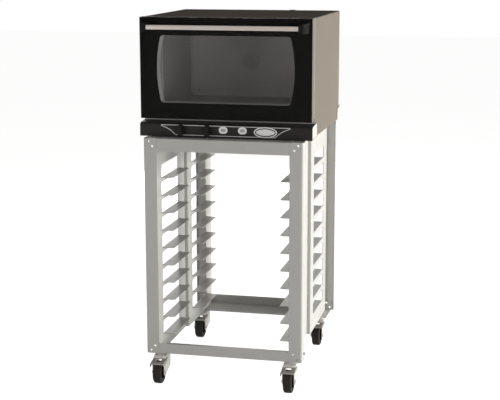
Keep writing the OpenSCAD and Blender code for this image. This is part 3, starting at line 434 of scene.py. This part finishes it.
def dressed(obj, finish, body, slot, *hidden, smooth=35):
    only(obj)
    bpy.ops.object.shade_smooth_by_angle(angle=math.radians(smooth))
    obj.data.materials.clear()
    obj.data.materials.append(finishes[finish].material)
    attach(obj, body)
    if hidden:
        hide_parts(*hidden)
    return obj


# Handle: a flat-faced bar between two moulded brackets
barLook = {"half": 0.2645, "front": -0.332, "back": -0.317, "low": 1.247, "high": 1.262, "edge": 0.0022}


def handleBar():
    look = barLook
    made = block((-look["half"], look["front"], look["low"]),
                 (look["half"], look["back"], look["high"]), "handleBar")
    return rounded(made, look["edge"], segments=4, angle=35)


dressed(handleBar(), "barSheet", "door", "handle_steel", "handle_bar")

bracketLook = {"outer": 0.29, "inner": 0.2612, "front": -0.3338, "back": -0.2825,
               "low": 1.2375, "high": 1.2715, "sleeve": 0.72, "slope": 0.0095, "bend": 0.006, "edge": 0.0025,
               "rim": 0.0028, "dishSide": 0.0016, "dish": 0.0012, "dishArea": 0.0001}


def handleBracket():
    look = bracketLook
    middle = (look["low"] + look["high"]) / 2
    made = block((look["inner"], look["front"], look["low"]), (look["outer"], look["back"], look["high"]))
    # the sleeve towards the bar is drawn in
    picked(made, lambda v, at: at.x < look["inner"] + near and at.y < look["front"] + near)
    bpy.ops.transform.resize(value=(1, 1, look["sleeve"]))
    leave()
    # the outer end slopes in towards the front
    extended(made, lambda v, at: at.x > look["outer"] - near and at.y < look["front"] + near,
             (-look["slope"], 0, 0))
    # a wider bend at the outer front edge, then all the small ones
    slopedEnd = look["outer"] - look["slope"]
    picked(made, lambda e, at: at.x > slopedEnd - near and at.y < look["front"] + near
           and abs(at.z - middle) < 2 * near, "EDGE")
    bpy.ops.mesh.bevel(offset=look["bend"], segments=10, affect="EDGES")
    leave()
    rounded(made, look["edge"], segments=4, angle=40)
    # shallow dish in the front face
    picked(made, lambda f, at: facingFront(f) and at.y < look["front"] + 4 * near
           and f.calc_area() > look["dishArea"], "FACE")
    bpy.ops.mesh.inset(thickness=look["rim"], depth=0)
    bpy.ops.mesh.inset(thickness=look["dishSide"], depth=-look["dish"])
    leave()
    return made


bracketRight = handleBracket()
brackets = joined("handleBrackets", bracketRight, mirrored(bracketRight, "bracketLeft"))
dressed(brackets, "bracketPlastic", "door", "knob_plastic", "handle_brackets", smooth=30)
print("handle made")


# Knobs: a skirt on the fascia, a raised grip with a pointer groove, and the spindle behind them
knobLook = {"timer": -0.156, "temperature": -0.062, "z": 0.903, "face": -0.2835,
            "gripHalf": 0.0095, "gripLong": 0.0205, "gripOut": -0.3045, "gripFoot": -0.2875,
            "draft": (0.86, 1, 0.95), "edge": 0.0022,
            "grooveHalf": 0.0007, "grooveLow": 0.011, "grooveHigh": 0.017, "grooveDeep": 0.0007,
            "skirt": 0.018, "skirtProud": 0.0004, "skirtEdge": 0.0014,
            "spindle": 0.003, "spindleBack": -0.261, "spindleFront": -0.2825, "spindleEdge": 0.0004}


def knob(name, x):
    look = knobLook
    z = look["z"]
    made = drum((x, look["gripOut"], z), (x, look["gripFoot"], z), look["gripHalf"], 48, name)
    stretch = look["gripLong"] - look["gripHalf"]
    extended(made, lambda v, at: at.z > z + nearer, (0, 0, stretch))
    extended(made, lambda v, at: at.z < z - nearer, (0, 0, -stretch))
    # draft: the front is a little smaller than the foot
    picked(made, lambda v, at: at.y < look["gripOut"] + near)
    bpy.ops.transform.resize(value=look["draft"])
    leave()
    rounded(made, look["edge"], segments=4)
    cut(made, block((x - look["grooveHalf"], look["gripOut"] - past, z + look["grooveLow"]),
                    (x + look["grooveHalf"], look["gripOut"] + look["grooveDeep"], z + look["grooveHigh"])))
    skirtFront = look["gripFoot"] - look["skirtProud"]
    skirt = drum((x, look["face"], z), (x, skirtFront, z), look["skirt"], 64, "skirt")
    rounded(skirt, look["skirtEdge"])
    spindle = drum((x, look["spindleBack"], z), (x, look["spindleFront"], z), look["spindle"], 24, "spindle")
    rounded(spindle, look["spindleEdge"], segments=1)
    return joined(name, made, skirt, spindle)


for body in ("timer", "temperature"):
    dressed(knob(body + "Knob", knobLook[body]), "blackPlastic", body, "knob_plastic", "knob_" + body)
print("knobs made")


# Button caps: grey, with a pressed line round a low crown
capLook = {"left": -0.0065, "right": 0.061, "z": 0.9053, "front": -0.287, "back": -0.2735,
           "halfWide": 0.008, "halfHigh": 0.00475, "edge": 0.0012, "faceArea": 0.00002,
           "line": 0.0006, "lineDeep": 0.00025, "crownSide": 0.0005, "crown": 0.00035}


def buttonCap(name, x):
    look = capLook
    made = drum((x, look["front"], look["z"]), (x, look["back"], look["z"]), look["halfHigh"], 48, name)
    stretch = look["halfWide"] - look["halfHigh"]
    extended(made, lambda v, at: at.x > x + nearer, (stretch, 0, 0))
    extended(made, lambda v, at: at.x < x - nearer, (-stretch, 0, 0))
    rounded(made, look["edge"], segments=4)
    picked(made, lambda f, at: facingFront(f) and abs(at.y - look["front"]) < 2 * nearer
           and f.calc_area() > look["faceArea"], "FACE")
    bpy.ops.mesh.inset(thickness=look["line"], depth=-look["lineDeep"])
    bpy.ops.mesh.inset(thickness=look["crownSide"], depth=look["crown"])
    leave()
    return made


for side, body in (("left", "button_l"), ("right", "button_r")):
    cap = buttonCap("buttonCap" + side.capitalize(), capLook[side])
    dressed(cap, "greyPlastic", body, "grey_plastic", "button_" + side)
print("buttons made")


# Blank oval plate: pale rim, dark sunk ring, plain pale field with a softened edge
ovalLook = {"x": 0.141, "z": 0.9018, "wide": 0.081, "high": 0.037, "front": -0.2841, "back": -0.2795,
            "edge": 0.0005, "rim": 0.0031, "dark": 0.0032, "sink": 0.0009, "wall": 0.00025,
            "soft": 0.0012, "crown": 0.0003, "sides": 96}


def ovalPlate():
    look = ovalLook
    x, z = look["x"], look["z"]
    # a drum 1 m across, then drawn in to its width and height
    made = drum((x, look["front"], z), (x, look["back"], z), 0.5, look["sides"], "ovalPlate")
    picked(made, lambda v, at: True)
    bpy.ops.transform.resize(value=(look["wide"], 1, look["high"]), center_override=(x, 0, z))
    leave()
    picked(made, lambda e, at: abs(at.y - look["front"]) < 0.1 * nearer, "EDGE")
    bpy.ops.mesh.bevel(offset=look["edge"], segments=3, affect="EDGES")
    leave()
    picked(made, lambda f, at: facingFront(f) and len(f.verts) == look["sides"], "FACE")
    bpy.ops.mesh.inset(thickness=look["rim"], depth=0)
    bpy.ops.mesh.inset(thickness=look["wall"], depth=-look["sink"])
    bpy.ops.mesh.inset(thickness=look["dark"], depth=0)
    bpy.ops.mesh.inset(thickness=look["wall"], depth=look["sink"])
    bpy.ops.mesh.inset(thickness=look["soft"], depth=look["crown"])
    leave()
    return made


plate = dressed(ovalPlate(), "plateEnamel", "base", "silver_trim", "oval_plate", smooth=25)
plate.data.materials.append(finishes["blackEnamel"].material)
belowRim, aboveBack = ovalLook["front"] + ovalLook["edge"], ovalLook["back"] - near
for face in plate.data.polygons:
    if facingFront(face) and belowRim < face.center.y < aboveBack:
        face.material_index = 1  # the floor of the sunk ring
print("oval plate made")


# Screws and leg bolts: one pan head with a cross recess, copied to each place
screwLook = {"radius": 0.0034, "high": 0.0019, "edge": 0.0011,
             "slotWide": 0.0009, "slotLong": 0.0036, "slotDeep": 0.0009, "boltSize": 1.5}
backX, edgeX = (-0.285, -0.143, 0, 0.143, 0.285), (-0.285, 0.285)
screwRows = {
    "backScrews": {"towards": (0, 1, 0), "finish": "zincSheet", "body": "base", "slot": "galvanised",
                   "places": [(x, 0.2874, z) for x in backX for z in (0.944, 1.2765)]
                   + [(x, 0.2874, z) for x in edgeX for z in (1.055, 1.165)]},
    "cheekScrewsRight": {"towards": (1, 0, 0), "finish": "cheekPaint", "body": "base", "slot": "cheek_paint",
                         "places": [(0.3029, -0.18354, 0.89003), (0.3029, 0.2955, 0.8939)]},
    "cheekScrewsLeft": {"towards": (-1, 0, 0), "finish": "cheekPaint", "body": "base", "slot": "cheek_paint",
                        "places": [(-0.3029, -0.18354, 0.89003), (-0.3029, 0.2955, 0.8939)]},
    "doorPanelScrews": {"towards": (0, 1, 0), "finish": "zincSheet", "body": "door", "slot": "stainless",
                        "places": [(x, -0.2346, z) for x in (-0.287, 0.287) for z in (0.985, 1.115, 1.245)]},
    "serviceScrews": {"towards": (0, 1, 0), "finish": "zincSheet", "body": "base", "slot": "galvanised",
                      "places": [(x, 0.3154, 0.921) for x in (-0.28, -0.1, 0.1, 0.28)]},
    "baffleScrews": {"towards": (0, -1, 0), "finish": "zincSheet", "body": "base", "slot": "liner_steel",
                     "places": [(x, 0.1231, z) for x in (-0.2, 0.2) for z in (0.996, 1.218)]},
}
# The leg bolts are black: painted shade, a dark head standing for the shaded inside of a hole in each lip
boltRows = {
    "legBoltRight": {"towards": (1, 0, 0), "finish": "blackEnamel", "body": "base", "slot": "stand_aluminium",
                     "places": [(0.2796, -0.288, 0.132)]},
    "legBoltLeft": {"towards": (-1, 0, 0), "finish": "blackEnamel", "body": "base", "slot": "stand_aluminium",
                    "places": [(-0.2796, -0.288, 0.132)]},
}


def panHead():
    look = screwLook
    made = drum((0, 0, 0), (0, 0, look["high"]), look["radius"], 24, "panHead")
    picked(made, lambda e, at: at.z > look["high"] - 0.1 * nearer, "EDGE")
    bpy.ops.mesh.bevel(offset=look["edge"], segments=4, affect="EDGES")
    leave()
    wide, long = look["slotWide"] / 2, look["slotLong"] / 2
    for x, y in ((wide, long), (long, wide)):
        cut(made, block((-x, -y, look["high"] - look["slotDeep"]), (x, y, look["high"] + past)))
    return made


def screwed(head, rows):
    for name, row in rows.items():
        turned = Vector(row["towards"]).to_track_quat("Z", "Y").to_matrix().to_4x4()
        heads = []
        for i, place in enumerate(row["places"]):
            copy = twin(head, "%s%d" % (name, i))
            copy.matrix_world = Matrix.Translation(place) @ turned
            heads.append(settle(copy))
        dressed(joined(name, *heads), row["finish"], row["body"], row["slot"], smooth=40)


head = panHead()
screwed(head, screwRows)
head.scale = (screwLook["boltSize"],) * 3  # the leg bolts are a size larger
screwed(settle(head), boltRows)
bpy.data.objects.remove(head)
print("screws made")


# Slotted strips that close the sides of the baffle
louvreLook = {"inner": 0.2202, "outer": 0.2318, "front": 0.124, "back": 0.1252, "low": 0.979, "high": 1.235,
              "slots": 17, "slotHigh": 0.0032, "slotIn": 0.0028}


def louvre():
    look = louvreLook
    made = block((look["inner"], look["front"], look["low"]), (look["outer"], look["back"], look["high"]),
                 "louvreRight")
    pitch = (look["high"] - look["low"]) / look["slots"]
    for i in range(look["slots"]):
        z = look["low"] + (i + 0.5) * pitch
        cut(made, block((look["inner"] + look["slotIn"], look["front"] - past, z - look["slotHigh"] / 2),
                        (look["outer"] - look["slotIn"], look["back"] + past, z + look["slotHigh"] / 2)))
    return made


louvreRight = louvre()
for strip in (louvreRight, mirrored(louvreRight, "louvreLeft")):
    dressed(strip, "cavityLitSteel", "base", "liner_steel")
print("louvres made")


# Brake pedals: the edge that turns up at the inner end of each one's top plate, with its corners cut back,
# painted paler than the pedal as a painted highlight on that lit edge
curlLook = {"x": 0.234, "front": -0.2925, "rear": 0.2705, "half": 0.0235, "out": -0.0236, "in": -0.0222,
            "low": 0.0862, "high": 0.0925, "corner": 0.003, "edge": 0.0004}


def pedalCurl(name, x, y):
    look = curlLook
    made = block((x - look["half"], y + look["out"], look["low"]),
                 (x + look["half"], y + look["in"], look["high"]), name)
    picked(made, lambda e, at: at.z > look["high"] - nearer
           and abs(at.x - x) > look["half"] - 5 * nearer, "EDGE")
    bpy.ops.mesh.bevel(offset=look["corner"], segments=4, affect="EDGES")
    leave()
    return rounded(made, look["edge"], segments=2)


for corner in corners:
    row, side = corner.split("_")
    x = -curlLook["x"] if side == "left" else curlLook["x"]
    dressed(pedalCurl("pedalCurl_" + corner, x, curlLook[row]), "curlHighlightZinc", "brake_" + corner, "pedal_steel")
print("pedal edges made")


# Camera
cameraLook = {"place": (1.05791, -4.50402, 1.51922), "yaw": 12.95, "pitch": 11.13, "roll": -0.08,
              "focal": 1286.44, "imageWidth": 500, "sensor": 36, "reach": 100}
cameraData = bpy.data.cameras.new("camera")
cameraData.sensor_width = cameraLook["sensor"]
cameraData.lens = cameraLook["sensor"] * cameraLook["focal"] / cameraLook["imageWidth"]
cameraData.clip_end = cameraLook["reach"]
camera = bpy.data.objects.new("camera", cameraData)
scene.collection.objects.link(camera)
camera.location = cameraLook["place"]
turn = (Matrix.Rotation(math.radians(cameraLook["yaw"]), 4, "Z")
        @ Matrix.Rotation(math.radians(90 - cameraLook["pitch"]), 4, "X")
        @ Matrix.Rotation(math.radians(cameraLook["roll"]), 4, "Z"))
camera.rotation_euler = turn.to_euler()
scene.camera = camera

# Lamps: a strong one far to the right, two weak ones in front, one behind and a faint one above
lampLook = {
    "right": {"at": (4.2, 1.15, 0.7), "aim": (0, 0, 0.7), "size": (1.2, 1.2), "watts": 210,
              "tint": (1, 0.985, 0.955)},
    "nearRight": {"at": (1.45, -1.7, 0.72), "aim": (0, -0.2, 0.68), "size": (0.8, 1.4), "watts": 11.2,
                  "tint": (1, 0.99, 0.98)},
    "nearLeft": {"at": (-1.35, -1.7, 0.72), "aim": (0, -0.2, 0.68), "size": (0.8, 1.4), "watts": 9.8,
                 "tint": (1, 0.99, 0.98)},
    "behind": {"at": (-1.3, 4.0, 0.95), "aim": (0, 0, 0.75), "size": (1.5, 1.5), "watts": 34,
               "tint": (1, 0.99, 0.98)},
    "above": {"at": (0.1, -0.1, 3.3), "aim": (0, 0, 0.7), "size": (1.6, 1.6), "watts": 2.6,
              "tint": (1, 0.98, 0.95)},
}
for name, look in lampLook.items():
    data = bpy.data.lights.new(name, "AREA")
    data.shape = "RECTANGLE"
    data.size, data.size_y = look["size"]
    data.energy = look["watts"]
    data.color = look["tint"]
    lamp = bpy.data.objects.new(name, data)
    scene.collection.objects.link(lamp)
    lamp.location = look["at"]
    lamp.rotation_euler = (Vector(look["aim"]) - Vector(look["at"])).to_track_quat("-Z", "Y").to_euler()

# World: a low even sky for light, and white to look at
skyLook = {"light": (0.14, 0.139, 0.137), "shown": (1, 1, 1)}
scene.world = bpy.data.worlds.new("studio")
scene.world.use_nodes = True
sky = Net(scene.world.node_tree)
ground = sky.tree.nodes["Background"]
sky.feed(ground.inputs["Color"], sky.mix(sky.looked(), skyLook["light"], skyLook["shown"]))
ground.inputs["Strength"].default_value = 1

# Floor: pale, lit up to white where it is looked at, so that only the shadow shows
floorLook = {"size": 24, "place": (0, 6, -0.0005), "colour": (0.8, 0.8, 0.8), "rough": 0.9, "shown": 0.86}
bpy.ops.mesh.primitive_plane_add(size=floorLook["size"], location=floorLook["place"])
floor = bpy.context.object
floor.name = "floor"
settle(floor)
floorFinish = Finish("floorFinish", colour=floorLook["colour"], rough=floorLook["rough"], specular=0.0)
glow = floorFinish.looked() * floorLook["shown"]
white = floorFinish.node("ShaderNodeEmission", {}, {"Color": (1, 1, 1), "Strength": glow})
painted = Wire(floorFinish, floorFinish.shader.outputs[0])
both = floorFinish.node("ShaderNodeAddShader", {}, {0: painted, 1: white})
floorFinish.feed(floorFinish.tree.nodes["Material Output"].inputs["Surface"], both)
floor.data.materials.append(floorFinish.material)
scene.view_settings.view_transform = "Standard"
print("camera, lamps and floor set")
